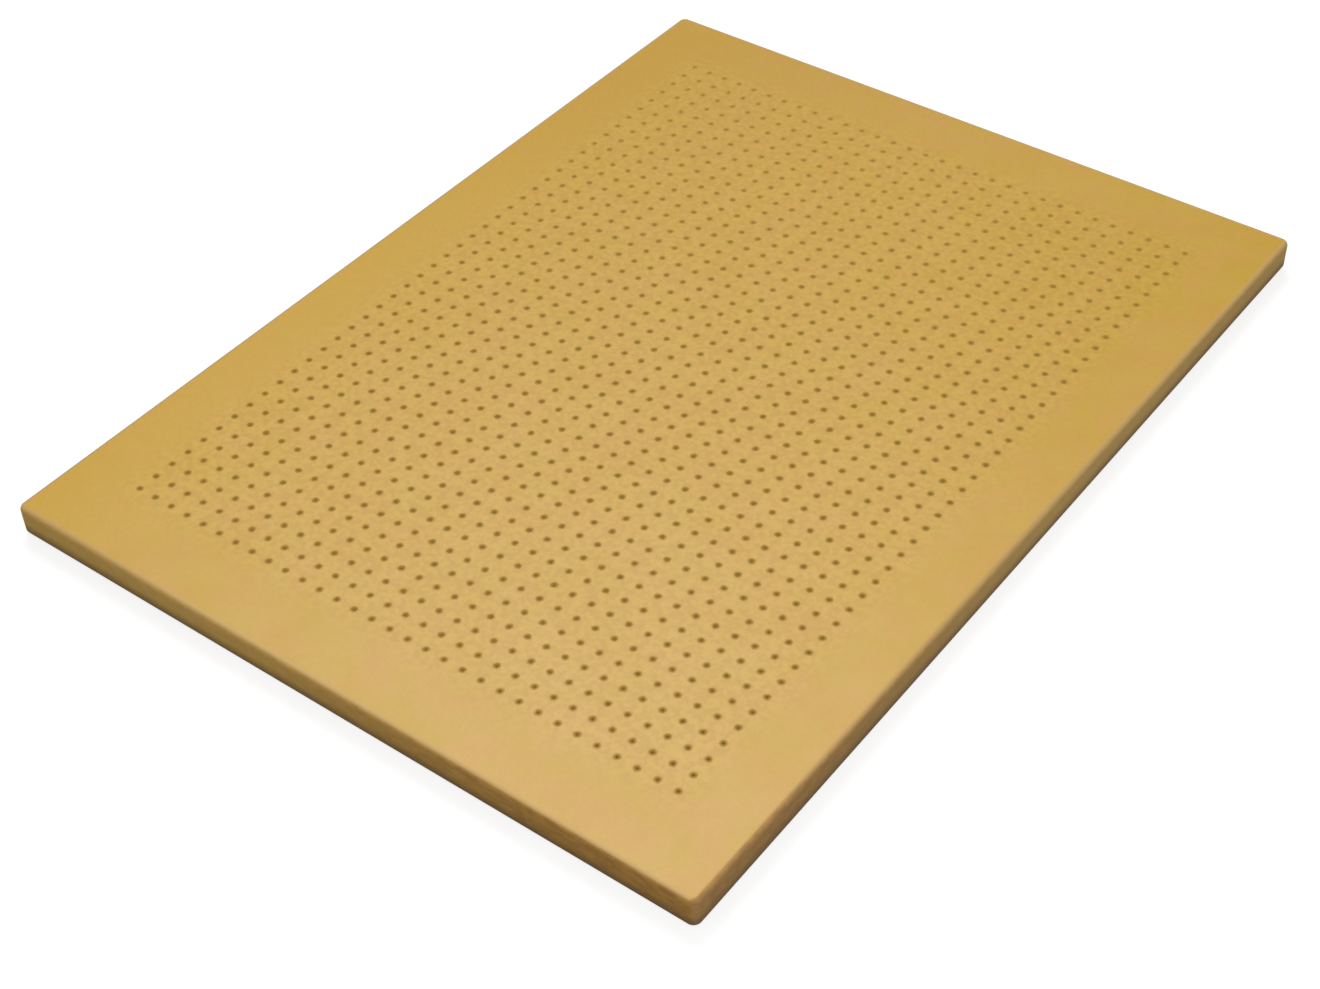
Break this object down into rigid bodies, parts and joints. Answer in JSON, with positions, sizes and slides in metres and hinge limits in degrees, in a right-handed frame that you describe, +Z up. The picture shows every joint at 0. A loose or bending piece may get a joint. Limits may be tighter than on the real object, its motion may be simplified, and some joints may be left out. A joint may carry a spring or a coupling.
{
  "type": "perforated wooden panel",
  "caption": "Rectangular wood-fibre board, rounded over along every edge and drilled right through with a fine square grid of holes inside a plain border.",
  "frame": {"origin": "centre of the underside, where the panel rests when it lies flat on its back", "axes": "+X across the panel, +Y along its length, +Z up through its thickness towards the seen face"},
  "size_m": [0.375, 0.5, 0.016],
  "materials": {
    "raw_board": "matte"
  },
  "bodies": {
    "root": {"perforated_panel": "raw_board"}
  },
  "joints": []
}
